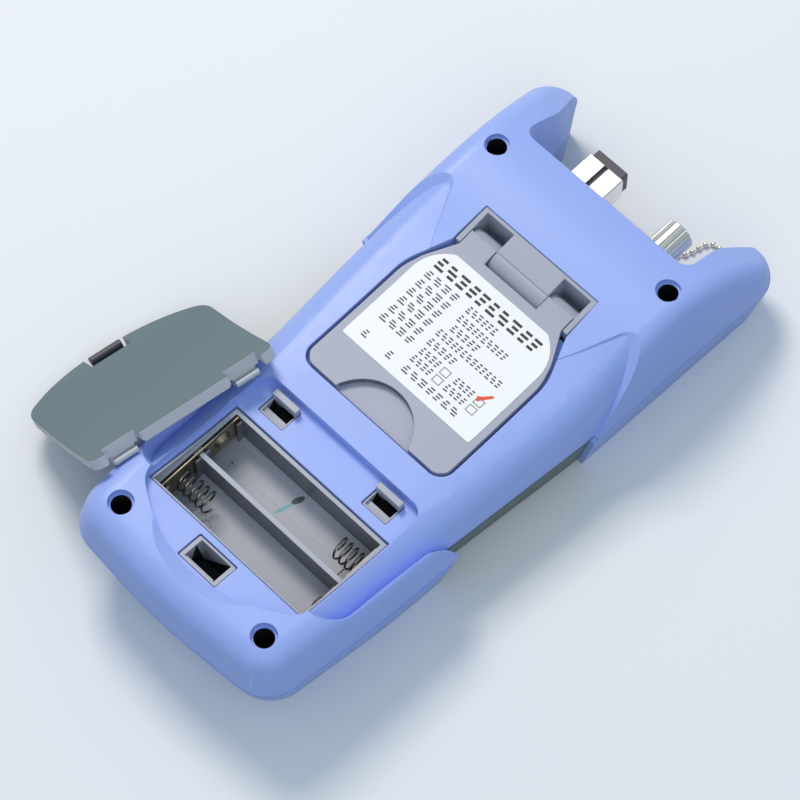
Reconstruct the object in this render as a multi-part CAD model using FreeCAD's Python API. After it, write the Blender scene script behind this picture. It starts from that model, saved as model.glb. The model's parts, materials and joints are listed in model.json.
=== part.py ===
import FreeCAD, Part
import math
import os

# Optical power meter with a red-light source, lying on its front with its back up.
# Millimetres. X runs across, Y from the battery end to the ports, Z up, and the meter rests on z = 0.
# The origin lies in the plane of symmetry, level with the two case screws of the battery end.

V = FreeCAD.Vector
GAP = 0.1                      # seated clearance between pieces that touch in use
RUNNING = 0.05                 # radial clearance of a pin in its bore

# Case: outlines are (x, y, corner radius), from the battery end to the ports, for the right half.
WALL = 2.2
LEVEL = 19.0                   # height at which the case outlines are drawn
DRAFT = math.tan(math.radians(13.0))
BUMPER_OUTLINE = [(0, -14.6, 170), (39.3, -11.6, 12.5), (42.4, 28, 220), (45.6, 146, 80), (46.4, 183.0, 10)]
WAIST_OUTLINE = [(0, -13.0, 170), (36.6, -10.2, 12), (37.9, 38, 300), (43.2, 112, 300), (43.9, 150, 80),
                 (42.2, 179.0, 13)]
SHOULDER = 8.0                 # rounding of the back's edge on the bumpers
WAIST_SHOULDER = 13.0          # softer rounding between them
WAIST_LIFT = 0.06
CROWN_FROM = 21.0              # from here outwards the grip hollows fall away from the back
CROWN_FALL = 3.6               # by this many degrees
BACK_LINE = [(-30, 25.5), (-16, 33.6), (-4, 36.4), (6, 36.2), (24, 33.4), (45, 31.1), (68, 30.3), (95, 31.0),
             (119, 33.2), (134, 36.1), (145, 36.6), (156, 34.7), (168, 29.6), (178, 22.6), (190, 11.0)]
PARTING_BATTERY_END = 23.2     # height of the parting line at y = PARTING_FROM
PARTING_PORT_END = 14.8        # and at y = PARTING_TO
PARTING_FROM = -6.0
PARTING_TO = 175.0

# Horns beside the ports
PORT_FACE = 157.5              # plane of the end wall between the horns
NOTCH_LOW = [(26.0, PORT_FACE, 4), (27.2, 172, 16), (38.0, 190, 0)]
NOTCH_HIGH = [(31.2, PORT_FACE, 5), (32.4, 171, 16), (42.0, 190, 0)]
NOTCH_LOW_Z = 14.0
NOTCH_HIGH_Z = 36.0

# Grip hollows between the bumpers: an arch under the upper one, a crease along the lower one
ARCH_APEX = 127.5
ARCH_LEVEL = 32.0
ARCH_LEAN = 1.3                # the crease runs this far down the case for each millimetre of depth
ARCH_X = 10.0
ARCH_CORNER_X = 33.2
ARCH_R = 4.0
ARCH_RISE = 1.62
LOWER_CREASE = [(10, 17.5, 0), (35.6, 17.5, 5), (37.0, 36, 60), (38.4, 50, 3), (41.0, 54.0, 2), (70, 54.0, 0),
                (70, 150, 0), (10, 150, 0)]
LOWER_CREASE_Z = 27.0
LOWER_CREASE_LEAN = 0.5

# Battery door and its recess
RECESS_HALF = 30.0
RECESS_TOP = 56.5
RECESS_ARC = 44.0
RECESS_APEX = -0.3
RECESS_DEPTH = 3.3
DOOR_GAP = 0.3
DOOR_THICK = 2.6

RAMP = [(2.0, 23.0, 33.4), (-6.4, 25.0, 37.2)]   # lowest y, radius and height of the two circles
DOOR_TILT = 46.3               # turn of the leaning door about its hook edge
DOOR_TURN = -99.3              # its heading about the vertical
DOOR_PLACE = (-34.6, 30.49, 40.16)  # middle of its hook edge
RAIL_HALF = 13.8
HOOK_BLOCK_HALF = 5.1
HOOK_BLOCK_FACE = 52.0         # the blocks' outer face, set back from the door's edge

# Battery bay
BAY_HALF = 29.1
BAY_FROM = 11.6
BAY_TO = 44.2
BAY_FLOOR = 16.0
DIVIDER_Y = 27.8
DIVIDER_THICK = 1.5
DIVIDER_TOP = 26.4
HOLDER_WALL = 1.3
RIM_WALL = 0.6                 # the holder's wall from RIM_FROM up
RIM_FROM = 27.4
CELL_R = 7.25
CHANNEL_ROUND = 2.0
HOLDER_INNER = BAY_HALF - 0.4 - HOLDER_WALL      # half length of the cell channels
PLATE_X = -26.2                # inner face of the bridging plate
CONTACT_THICK = 0.4
CONTACT_LOW = BAY_FLOOR + CHANNEL_ROUND
BRIDGE_HIGH = BAY_FLOOR + 11.4
CONTACT_HIGH = BAY_FLOOR + 10.5
CONTACT_HALF = 5.5
NUB = (2.9, 1.9, 1.3)          # root radius, tip radius, height
SPRING_WIRE = 0.33
SPRING_SIDES = 6               # the wire's section is a polygon
SPRING_ROOT = 3.1
BRIDGE_SPRING = (2.3, 11.5, 5)   # tip radius, length, turns
NEGATIVE_SPRING = (2.5, 8.5, 4)

# Hook slots and latch slot in the recess floor
HOOK_X = 19.7
HOOK_SLOT = (9.4, 47.4, 55.0)  # width, from, to
TAB_DEPTH = 2.15
TAB_RISE = 2.7                 # height of the hook tabs over the recess floor
TAB_THICK = 2.8
HOOK_FACE = 3.6                # depth of the hooks' upper face under the back
HOOK_END = 5.4
HOOK_HALF = 3.7
LATCH_SLOT = (14.2, 1.2, 9.8)
LATCH_HOLE = (11.0, 2.4, 8.8)
LATCH_NOTCH = 7.0              # the door's notch ends at this y
LATCH_HALF = 5.1
LATCH_BAR_R = 1.3
LATCH_DEPTH = 8.0
CATCH_DEPTH = 4.8              # depth of the catch's lower face under the back

# Case screws
SCREWS = [(32.5, 148.3), (27.1, 0.0)]
HEAD_BORE_R = 2.9
COUNTERBORE_R = 3.65
COUNTERBORE_DEPTH = 1.8
SCREW_SEAT = 20.5
BOSS_R = 4.6
POST_R = 3.6
SHANK_R = 1.45
HEAD_R = 2.6
HEAD_HIGH = 2.0
DRIVE_WIDTH = 0.8              # cross recess of the screw head
DRIVE_REACH = 1.6
DRIVE_DEPTH = 0.9

# Kickstand
POCKET_DEPTH = 3.4
STAND_DEPTH = 0.3
STAND_THICK = 2.8
STAND_GAP = 0.5
WELL_HALF = 21.2
WELL_FROM = 119.4
WELL_TO = 132.6
WELL_FLOOR = 23.4
HINGE_Y = 125.0
HINGE_Z = 29.3
PIN_R = 1.0
KNUCKLE_R = 3.7
KNUCKLE_FROM = 9.9
KNUCKLE_TO = 19.2
BLOCK_R = 4.5
POCKET_OUTLINE = [(27.2, 65.6, 5), (27.2, 106.5, 18), (21.6, 119.6, 2), (21.2, 132.6, 1.5)]
LABEL_THICK = 0.15
FINGER_R = 14.0
FINGER_Y = 63.0
FINGER_DEPTH = 2.0             # the hollow's floor under the stand's face

# Ports
SC_X = -11.0
SC_WIDTH = 12.8
SC_HEIGHT = 9.3
SC_WALL = 1.0
SC_FROM = 146.0
SC_END = 170.7
SC_SLOT = 1.6                  # width of the keyway along its top
SC_FLANGE = 1.4
FERRULE = (1.6, 0.7, 160.0)    # radius, bore radius, tip
SC_CAP_THICK = 2.8
SC_CAP_DEPTH = 7.7             # how far the plug reaches in
PORT_Z = 17.4
LASER_R = 3.6
LASER_FROM = 135.4
SADDLE_HALF = 3.0
DETECTOR = (6.5, 139.0, 150.0, 4.5)   # half width, from, to, height over the port's axis
FC_X = 16.5
FC_CAP_R = 5.3
FC_BARREL_R = 3.9
FC_CAP_FROM = 158.2
FC_CAP_TO = 171.2
FC_COLLAR_R = 5.4
KNURLS = 36
KNURL_DEPTH = 0.35
CAP_NECK_R = FC_CAP_R - 0.45   # bottom of the ring's groove
RING_HALF = 0.45               # half thickness of the ring
RING_Y = 159.6
EYE_Z = 11.2
EYE_HALF = 1.2
ANCHOR = (22.6, 8.0)           # x and z
ANCHOR_R = 0.6
CHAIN_R = 0.55
CHAIN_ROUTE = [(16.5, 159.6, 10.0), (16.5, 159.6, 5.6), (14.8, 165.8, 1.6), (14.4, 172.4, 0.6), (16.6, 179.8, 0.6),
               (20.6, 184.8, 0.6), (25.2, 182.0, 0.6), (26.0, 174.8, 0.6), (24.2, 168.4, 2.0), (22.6, 163.9, 8.0),
               (22.6, 159.1, 8.0)]

# Front of the case
FRONT_FACE = 2.0
FRONT_TOP = 26.0               # a level above the parting line everywhere
LEAN_BATTERY_END = 0.26        # how far the front half's walls lean in for each millimetre of depth
LEAN_PORT_END = 0.19
FRONT_WAIST_OUTLINE = [(0, -12.4, 170), (36.2, -9.6, 12), (37.9, 38, 300), (43.4, 112, 300), (44.2, 150, 80),
                       (42.6, 179.6, 13)]
BUMPER_FRONT_OUTLINE = [(0, -13.7, 170), (38.5, -10.8, 12), (42.3, 28, 220), (46.5, 146, 80), (47.3, 183.8, 10)]
UPPER_BUMPER_FROM = 107.5
LOWER_BUMPER_TO = 54.0
LIP_HALF = 30.0
LIP_FROM = 8.0
LIP_TO = 148.0
BOARD_Z = 11.0
BOARD_THICK = 1.6
LCD_CENTRE = (0.0, 121.0)
LCD_SIZE = (52.0, 36.0)
KEY_SIZE = (15.0, 9.0)
KEY_ROWS = [82.0, 64.0, 46.0]
KEY_COLUMNS = [-14.0, 14.0]
KEY_FACE = 0.8
KEY_TRAVEL = 0.8


def unit(x, y):
    length = math.hypot(x, y)
    return x / length, y / length


def both_sides(half):
    """Closes a right-hand half outline with its mirror image, counter-clockwise."""
    left = [(-x, y, r) for x, y, r in reversed(half) if x > 1e-6]
    return list(half) + left


def inset(outline, distance):
    """Moves every edge of a counter-clockwise outline inwards, and its corner radii with it."""
    result = []
    for i, (x, y, r) in enumerate(outline):
        before = outline[i - 1]
        after = outline[(i + 1) % len(outline)]
        ux, uy = unit(x - before[0], y - before[1])
        vx, vy = unit(after[0] - x, after[1] - y)
        share = distance / (1 + ux * vx + uy * vy)
        turn = 1 if ux * vy - uy * vx > 0 else -1
        radius = max(r - turn * distance, 0.3) if r else 0
        result.append((x - share * (uy + vy), y + share * (ux + vx), radius))
    return result


def wire(outline, z):
    """A closed wire of straight edges and tangent corner arcs at one height."""
    arcs = []
    for i, (x, y, r) in enumerate(outline):
        before = outline[i - 1]
        after = outline[(i + 1) % len(outline)]
        ux, uy = unit(x - before[0], y - before[1])
        vx, vy = unit(after[0] - x, after[1] - y)
        half_turn = 0.5 * math.acos(max(-1.0, min(1.0, ux * vx + uy * vy)))
        if r == 0 or half_turn < 1e-4:
            arcs.append((V(x, y, z), None, V(x, y, z)))
            continue
        reach = r * math.tan(half_turn)
        start = V(x - ux * reach, y - uy * reach, z)
        end = V(x + vx * reach, y + vy * reach, z)
        wx, wy = unit(vx - ux, vy - uy)
        middle = V(x, y, z) + V(wx, wy, 0) * (r / math.cos(half_turn) - r)
        arcs.append((start, middle, end))
    edges = []
    for i, (start, middle, end) in enumerate(arcs):
        if middle is not None:
            edges.append(Part.Arc(start, middle, end).toShape())
        following = arcs[(i + 1) % len(arcs)][0]
        if end.distanceToPoint(following) > 1e-5:
            edges.append(Part.LineSegment(end, following).toShape())
    return Part.Wire(edges)


def prism(outline, low, high):
    return Part.Face(wire(outline, low)).extrude(V(0, 0, high - low))


def drafted(outline, low, high, slope):
    """A solid whose walls lean inwards by slope for each millimetre of height; the outline is at LEVEL."""
    bottom = wire(inset(outline, (low - LEVEL) * slope), low)
    top = wire(inset(outline, (high - LEVEL) * slope), high)
    return Part.makeLoft([bottom, top], True, True)


def block(x0, x1, y0, y1, z0, z1):
    return Part.makeBox(x1 - x0, y1 - y0, z1 - z0, V(x0, y0, z0))


def rod(x, y, z0, z1, radius):
    return Part.makeCylinder(radius, z1 - z0, V(x, y, z0))


def rod_y(x, z, y0, y1, radius):
    return Part.makeCylinder(radius, y1 - y0, V(x, y0, z), V(0, 1, 0))


def rod_x(y, z, x0, x1, radius):
    return Part.makeCylinder(radius, x1 - x0, V(x0, y, z), V(1, 0, 0))


def pair(shape):
    """A shape and its mirror image across the plane of symmetry, joined."""
    return shape.fuse(shape.mirror(V(0, 0, 0), V(1, 0, 0)))


BACK_CURVE = Part.BSplineCurve()
BACK_CURVE.interpolate([V(0, y, z) for y, z in BACK_LINE])


def back_height(y):
    """Height of the back along the middle of the case."""
    low, high = BACK_CURVE.FirstParameter, BACK_CURVE.LastParameter
    for step in range(50):
        middle = (low + high) / 2
        if BACK_CURVE.value(middle).y < y:
            low = middle
        else:
            high = middle
    return BACK_CURVE.value(low).z


def under_back(depth, base=-5.0):
    """Everything under the back's lengthwise curve, lowered by depth."""
    curve = BACK_CURVE.copy()
    curve.translate(V(-60, 0, -depth))
    start = curve.value(curve.FirstParameter)
    end = curve.value(curve.LastParameter)
    corners = [end, V(-60, end.y, base), V(-60, start.y, base), start]
    sides = [Part.LineSegment(a, b).toShape() for a, b in zip(corners, corners[1:])]
    return Part.Face(Part.Wire([curve.toShape()] + sides)).extrude(V(120, 0, 0))


def slab(outline, top_depth, bottom_depth):
    """A plate that follows the back, between two depths below it."""
    column = prism(outline, 10, 45)
    return column.common(under_back(top_depth)).cut(under_back(bottom_depth, -8.0))


def parting_height(y):
    share = (y - PARTING_FROM) / (PARTING_TO - PARTING_FROM)
    return PARTING_BATTERY_END + share * (PARTING_PORT_END - PARTING_BATTERY_END)


def beside_parting(far_z):
    """Everything between the parting plane and a height well above or below the case."""
    low_y, high_y = -40.0, 210.0
    points = [V(-60, low_y, parting_height(low_y)), V(-60, high_y, parting_height(high_y)),
              V(-60, high_y, far_z), V(-60, low_y, far_z)]
    return Part.Face(Part.makePolygon(points + points[:1])).extrude(V(120, 0, 0))


def back_edges(shape, depth):
    """Edges of the shape that lie on the back's curved surface, lowered by depth."""
    found = []
    for edge in shape.Edges:
        first, last = edge.ParameterRange
        points = [edge.valueAt(first + (last - first) * k / 4) for k in range(5)]
        if all(abs(p.z + depth - back_height(p.y)) < 0.02 for p in points):
            found.append(edge)
    return found


def case_form(half, shoulder, margin, depth):
    """The case as one solid: drafted walls, a hollow-backed top lowered by depth, rounded shoulders."""
    outline = inset(both_sides(half), margin)
    solid = drafted(outline, -4.0, 50.0, DRAFT).common(under_back(depth))
    return solid.makeFillet(shoulder - margin, back_edges(solid, depth)).Solids[0]


def waist_form():
    """What the grip hollows leave: a narrower case with softer shoulders that falls away sideways."""
    form = case_form(WAIST_OUTLINE, WAIST_SHOULDER, 0.0, -WAIST_LIFT)
    crown = under_back(-WAIST_LIFT, -20.0)
    crown.rotate(V(CROWN_FROM, 0, back_height(ARCH_APEX)), V(0, 1, 0), CROWN_FALL)
    return form.common(crown).common(crown.mirror(V(0, 0, 0), V(1, 0, 0)))


def notch():
    """The space between the horns, wider towards the back and towards the tips."""
    wires = []
    for z in (-6.0, 48.0):
        share = (z - NOTCH_LOW_Z) / (NOTCH_HIGH_Z - NOTCH_LOW_Z)
        half = [(a[0] + share * (b[0] - a[0]), a[1] + share * (b[1] - a[1]), a[2])
                for a, b in zip(NOTCH_LOW, NOTCH_HIGH)]
        wires.append(wire(both_sides(half), z))
    return Part.makeLoft(wires, True, True)


def grip_region():
    """The stretch of the right-hand side that the bumpers leave to the fingers."""
    arch = [(ARCH_X, -20, 0), (70, -20, 0), (70, ARCH_APEX, 0), (ARCH_CORNER_X, ARCH_APEX, ARCH_R),
            (ARCH_X, ARCH_APEX - (ARCH_CORNER_X - ARCH_X) * ARCH_RISE, 0)]
    leaning = []
    for z in (8.0, 44.0):
        shift = (z - ARCH_LEVEL) * ARCH_LEAN
        leaning.append(wire([(x, y + shift, r) for x, y, r in arch], z))
    upper = Part.makeLoft(leaning, True, True)
    opening = [wire(inset(LOWER_CREASE, (LOWER_CREASE_Z - z) * LOWER_CREASE_LEAN), z) for z in (12.0, 40.0)]
    return upper.common(Part.makeLoft(opening, True, True))


def rectangle(x0, x1, y0, y1, r=0.0):
    return [(x0, y0, r), (x1, y0, r), (x1, y1, r), (x0, y1, r)]


def recess_outline(margin=0.0):
    """The door's outline: straight at the hooks, an arc at the latch."""
    lean = math.radians(33)
    low = RECESS_APEX + RECESS_ARC * (1 - 1 / math.cos(lean))
    half = [(0, low, RECESS_ARC), (RECESS_HALF, low + RECESS_HALF * math.tan(lean), 8),
            (RECESS_HALF, RECESS_TOP, 4)]
    return inset(both_sides(half), margin)


def bay_outline(margin=0.0):
    return rectangle(-BAY_HALF + margin, BAY_HALF - margin, BAY_FROM + margin, BAY_TO - margin)


def hook_slot(margin=0.0):
    width, start, end = HOOK_SLOT
    return rectangle(HOOK_X - width / 2 + margin, HOOK_X + width / 2 - margin, start + margin, end - margin, 0.5)


def latch_slot(margin=0.0):
    width, start, end = LATCH_SLOT
    return rectangle(-width / 2 + margin, width / 2 - margin, start + margin, end - margin, 0.4)


def pocket_outline(margin=0.0):
    return inset(both_sides(POCKET_OUTLINE), margin)


def screw_places():
    return [(side * x, y) for x, y in SCREWS for side in (-1, 1)]


def joined(shapes):
    whole = shapes[0]
    for shape in shapes[1:]:
        whole = whole.fuse(shape)
    return whole.removeSplitter()


def port_openings():
    """Cut through both shells for the two optical ports."""
    half_width = SC_WIDTH / 2 + GAP
    half_height = SC_HEIGHT / 2 + GAP
    square = block(SC_X - half_width, SC_X + half_width, PORT_FACE - 20, PORT_FACE + 5,
                   PORT_Z - half_height, PORT_Z + half_height)
    return square.fuse(rod_y(FC_X, PORT_Z, PORT_FACE - 20, PORT_FACE + 5, FC_COLLAR_R + GAP))


def finger_ramp():
    """The shallow crescent that leads a fingertip under the door's latch edge."""
    wires = [Part.Wire(Part.makeCircle(r, V(0, y + r, z))) for y, r, z in RAMP]
    return Part.makeLoft(wires, True, True)


def rear_cover():
    outer = case_form(BUMPER_OUTLINE, SHOULDER, 0.0, 0.0)
    grip = grip_region().cut(waist_form())
    whole = outer.cut([grip, grip.mirror(V(0, 0, 0), V(1, 0, 0)), notch()])
    inside = case_form(WAIST_OUTLINE, WAIST_SHOULDER, WALL, WALL)
    inside = inside.common(block(-60, 60, -40, PORT_FACE - WALL, -10, 60))
    cover = whole.common(beside_parting(70)).cut(inside)
    tubs = [slab(recess_outline(-WALL), 0.5, RECESS_DEPTH + WALL), slab(pocket_outline(-WALL), 0.5, POCKET_DEPTH + WALL),
            block(-WELL_HALF - WALL, WELL_HALF + WALL, WELL_FROM - WALL, WELL_TO + WALL, WELL_FLOOR - WALL, 33)]
    for x, y in screw_places():
        tubs.append(rod(x, y, SCREW_SEAT - 2.0, back_height(y) - WALL / 2, BOSS_R))
    for tub in tubs:
        cover = cover.fuse(tub.common(whole))
    cuts = [prism(recess_outline(), 20, 50).cut(under_back(RECESS_DEPTH, -8)),
            prism(pocket_outline(), 20, 50).cut(under_back(POCKET_DEPTH, -8)),
            block(-WELL_HALF, WELL_HALF, WELL_FROM, WELL_TO, WELL_FLOOR, 45),
            prism(bay_outline(), 10, 50), pair(prism(hook_slot(), 10, 50)), prism(latch_slot(), 10, 50),
            finger_ramp(), port_openings()]
    for x, y in screw_places():
        top = back_height(y)
        cuts.append(rod(x, y, top - COUNTERBORE_DEPTH, top + 5, COUNTERBORE_R))
        cuts.append(rod(x, y, SCREW_SEAT, top, HEAD_BORE_R))
        cuts.append(rod(x, y, SCREW_SEAT - 5, SCREW_SEAT + 1, SHANK_R + 0.15))
    for tool in cuts:
        cover = cover.cut(tool)
    return cover


def battery_holder():
    """The grey inner moulding: two cell channels, linings of the hook slots and the latch pocket."""
    under_floor = under_back(RECESS_DEPTH + WALL + GAP)
    low = BAY_FLOOR - HOLDER_WALL
    box = prism(bay_outline(-1.6), low, 40).common(under_floor)
    collar = prism(bay_outline(0.4), low, 40).common(under_back(RECESS_DEPTH + 0.8))
    hook_box = prism(rectangle(HOOK_X - 5.6, HOOK_X + 5.6, BAY_TO - 1, HOOK_SLOT[2] + 0.9), low + 4, 40)
    hook_lining = prism(hook_slot(0.25), low + 4, 40).common(under_back(RECESS_DEPTH + 0.5))
    roof = back_height(HOOK_SLOT[2]) - RECESS_DEPTH
    latch_box = prism(rectangle(-LATCH_SLOT[0] / 2 - 0.8, LATCH_SLOT[0] / 2 + 0.8, LATCH_SLOT[1] - 0.8, BAY_FROM),
                      low + 4, 40)
    latch_lining = prism(latch_slot(0.3), low + 4, 40).common(under_back(RECESS_DEPTH + 0.5))
    hooks = hook_box.common(under_floor).fuse(hook_lining)
    hooks = hooks.cut(block(HOOK_X - 3.9, HOOK_X + 3.9, HOOK_SLOT[1] + 0.9, HOOK_SLOT[2] - 0.4, low + 5.2, 45))
    tab = prism(rectangle(HOOK_X - 4.4, HOOK_X + 4.4, HOOK_SLOT[2] - TAB_DEPTH, HOOK_SLOT[2] - 0.25),
                roof - 1.0, 40)
    tab = tab.cut(block(HOOK_X - 3.9, HOOK_X + 3.9, HOOK_SLOT[1], HOOK_SLOT[2], 0, roof + TAB_RISE - TAB_THICK))
    hooks = hooks.fuse(tab.common(under_back(RECESS_DEPTH - TAB_RISE)))
    holder = joined([box, collar, latch_box.common(under_floor), latch_lining, pair(hooks)])
    hole_width, hole_from, hole_to = LATCH_HOLE
    holder = holder.cut(block(-hole_width / 2, hole_width / 2, hole_from, hole_to, low + 5.2, 45))
    catch_low = back_height(hole_from) - CATCH_DEPTH
    holder = holder.fuse(block(-LATCH_HALF, LATCH_HALF, hole_from - 0.2, hole_from + 0.35, catch_low, catch_low + 0.8))
    inner = HOLDER_INNER
    for start, end in channel_spans():
        channel = block(-inner, inner, start, end, BAY_FLOOR, 45)
        low_edges = [e for e in channel.Edges if abs(e.CenterOfMass.z - BAY_FLOOR) < 0.01 and e.Length > 40]
        holder = holder.cut(channel.makeFillet(CHANNEL_ROUND, low_edges))
    holder = holder.cut(block(-inner, inner, BAY_FROM + 2, BAY_TO - 2, DIVIDER_TOP, 45))
    holder = holder.cut(prism(bay_outline(0.4 + RIM_WALL), RIM_FROM, 45))
    return holder.cut(block(-inner, PLATE_X + GAP, DIVIDER_Y - 9, DIVIDER_Y + 9, BAY_FLOOR, 45)).fuse(
        block(-inner, PLATE_X - CONTACT_THICK - 0.02, DIVIDER_Y - 1.5, DIVIDER_Y + 1.5, BAY_FLOOR - 0.2, DIVIDER_TOP))


def channel_spans():
    """Where each cell lies along Y."""
    edge = 0.4 + HOLDER_WALL
    return [(BAY_FROM + edge, DIVIDER_Y - DIVIDER_THICK / 2), (DIVIDER_Y + DIVIDER_THICK / 2, BAY_TO - edge)]


def channel_centre(index):
    start, end = channel_spans()[index]
    return (start + end) / 2, BAY_FLOOR + CELL_R


def coil(tip_radius, length, turns):
    """A conical spring along +X from the origin."""
    lean = math.degrees(math.atan2(tip_radius - SPRING_ROOT, length))
    path = Part.makeHelix(length / turns, length, SPRING_ROOT, lean)
    corners = []
    for k in range(SPRING_SIDES + 1):
        angle = 2 * math.pi * k / SPRING_SIDES
        corners.append(V(SPRING_ROOT + SPRING_WIRE * math.cos(angle), 0, SPRING_WIRE * math.sin(angle)))
    spring = Part.Wire(path.Edges).makePipeShell([Part.makePolygon(corners)], True, True)
    spring.rotate(V(0, 0, 0), V(0, 1, 0), 90)
    return spring


def nub(x, y, z, direction):
    """The raised button of a contact plate."""
    root, tip, height = NUB
    return Part.makeCone(root, tip, height, V(x, y, z), V(direction, 0, 0))


def bridge_contact():
    """The plate that joins the two cells at one end, with the button that meets a cell's nub."""
    y, z = channel_centre(1)
    edge = 2.0
    plate = block(PLATE_X - CONTACT_THICK, PLATE_X, BAY_FROM + edge, BAY_TO - edge, CONTACT_LOW, BRIDGE_HIGH)
    return plate.fuse(nub(PLATE_X, y, z, 1))


def end_plate(index):
    """A flat contact at the +X end of one channel."""
    y, _ = channel_centre(index)
    return block(HOLDER_INNER - CONTACT_THICK, HOLDER_INNER, y - CONTACT_HALF, y + CONTACT_HALF, CONTACT_LOW,
                 CONTACT_HIGH)


def positive_contact():
    y, z = channel_centre(0)
    return end_plate(0).fuse(nub(HOLDER_INNER - CONTACT_THICK, y, z, -1))


def negative_contact():
    return end_plate(1)


def bridge_spring():
    y, z = channel_centre(0)
    spring = coil(*BRIDGE_SPRING)
    spring.translate(V(PLATE_X + SPRING_WIRE + 0.02, y, z))
    return spring


def negative_spring():
    y, z = channel_centre(1)
    spring = coil(*NEGATIVE_SPRING)
    spring.rotate(V(0, 0, 0), V(0, 0, 1), 180)
    spring.translate(V(HOLDER_INNER - CONTACT_THICK - SPRING_WIRE - 0.02, y, z))
    return spring


def stand_bracket():
    """The grey insert in the hinge well: centre block, outer lugs and a rim behind the knuckles."""
    half = WELL_HALF - GAP
    low, high = WELL_FROM + 0.3, WELL_TO - GAP
    floor = block(-half, half, low, high, WELL_FLOOR, WELL_FLOOR + 1.2)
    rim = block(-half, half, high - 1.0, high, WELL_FLOOR, 45)
    lug = block(KNUCKLE_TO + 0.3, half, HINGE_Y - 4.6, high, WELL_FLOOR, 45)
    middle = block(-KNUCKLE_FROM + 0.3, KNUCKLE_FROM - 0.3, HINGE_Y, high, WELL_FLOOR, 45)
    foot = block(-KNUCKLE_FROM + 0.3, KNUCKLE_FROM - 0.3, HINGE_Y - BLOCK_R, HINGE_Y, WELL_FLOOR, HINGE_Z)
    roll = rod_x(HINGE_Y, HINGE_Z, -KNUCKLE_FROM + 0.3, KNUCKLE_FROM - 0.3, BLOCK_R)
    whole = joined([floor, rim, pair(lug), middle, foot, roll.cut(block(-20, 20, HINGE_Y, 140, 0, 60))])
    return whole.common(under_back(0.4)).cut(rod_x(HINGE_Y, HINGE_Z, -half - 1, half + 1, PIN_R))


def hinge_pin():
    return rod_x(HINGE_Y, HINGE_Z, -WELL_HALF + GAP, WELL_HALF - GAP, PIN_R)


def stand_outline():
    neck = KNUCKLE_TO
    half = [(POCKET_OUTLINE[0][0] - STAND_GAP, POCKET_OUTLINE[0][1] + STAND_GAP, 4.5),
            (POCKET_OUTLINE[1][0] - STAND_GAP, POCKET_OUTLINE[1][1] + 0.3, 17.5), (neck + 0.6, 119.0, 0),
            (neck, HINGE_Y - BLOCK_R - 0.4, 0)]
    return both_sides(half)


def kickstand():
    plate = slab(stand_outline(), STAND_DEPTH, STAND_DEPTH + STAND_THICK)
    plate = plate.cut(rod(0, FINGER_Y, 10, 50, FINGER_R).cut(under_back(STAND_DEPTH + FINGER_DEPTH)))
    arm = block(KNUCKLE_FROM, KNUCKLE_TO, WELL_FROM + 0.2, HINGE_Y, HINGE_Z, 45).common(under_back(STAND_DEPTH))
    knuckle = rod_x(HINGE_Y, HINGE_Z, KNUCKLE_FROM, KNUCKLE_TO, KNUCKLE_R)
    whole = joined([plate, pair(arm), pair(knuckle)])
    return whole.cut(rod_x(HINGE_Y, HINGE_Z, -30, 30, PIN_R + RUNNING))


def stand_label():
    half = [(24.0, 79.3, 0.8), (24.0, 112.0, 12), (17.5, 117.0, 3)]
    return slab(both_sides(half), STAND_DEPTH - LABEL_THICK, STAND_DEPTH)


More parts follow.
